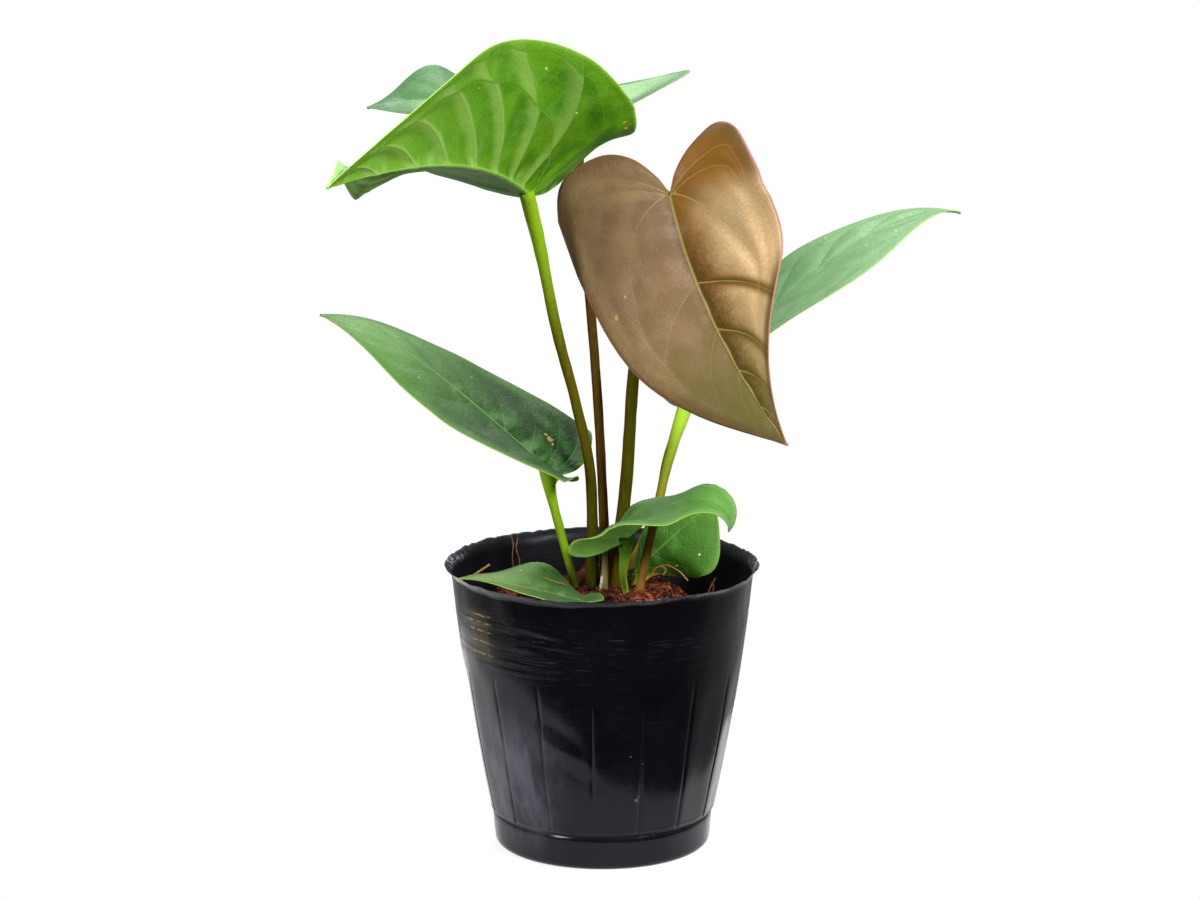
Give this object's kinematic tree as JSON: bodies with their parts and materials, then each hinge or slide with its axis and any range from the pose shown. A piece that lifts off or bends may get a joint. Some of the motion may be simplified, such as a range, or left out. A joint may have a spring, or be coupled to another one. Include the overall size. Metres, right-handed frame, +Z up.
{
  "type": "potted anthurium hybrid",
  "caption": "Young aroid house plant with heart-shaped leaves on slim stalks, rooted in coir in a thin black nursery pot.",
  "frame": {"origin": "middle of the pot's flat underside, where it stands", "axes": "+Z up, -Y the plant's front, +X to the right seen from the front"},
  "size_m": [0.2598, 0.2024, 0.328],
  "materials": {
    "pot_film": "thin blown black film, glossy with scuffs",
    "coir": "loose coir chips and fibres, matt",
    "root_crown": "matt root tissue",
    "petiole_green": "smooth waxy green stalk",
    "petiole_olive": "smooth olive and brown stalk",
    "petiole_brown": "smooth dark brown stalk",
    "leaf_fresh": "bright green blade, satin, pale veins",
    "leaf_pale": "mint green blade, satin",
    "leaf_bronze": "new bronze blade, glossy, olive veins, red edge",
    "leaf_mid": "mid green blade, satin",
    "leaf_dark": "dark green blade, satin",
    "leaf_young": "young green blade, satin",
    "shoot_sheath": "pale papery sheath"
  },
  "bodies": {
    "root": {"nursery_pot": "pot_film", "coir": "coir", "stem_base": "root_crown", "petiole_top": "petiole_green", "petiole_rear": "petiole_brown", "petiole_bronze": "petiole_olive", "petiole_right": "petiole_brown", "petiole_left": "petiole_green", "petiole_small_front": "petiole_green", "petiole_old_low": "petiole_green", "petiole_rim": "petiole_green", "leaf_top": "leaf_fresh", "leaf_rear": "leaf_pale", "leaf_bronze": "leaf_bronze", "leaf_right": "leaf_mid", "leaf_left": "leaf_dark", "leaf_small_front": "leaf_young", "leaf_old_low": "leaf_young", "leaf_rim": "leaf_young", "new_shoot": "shoot_sheath"}
  },
  "joints": []
}
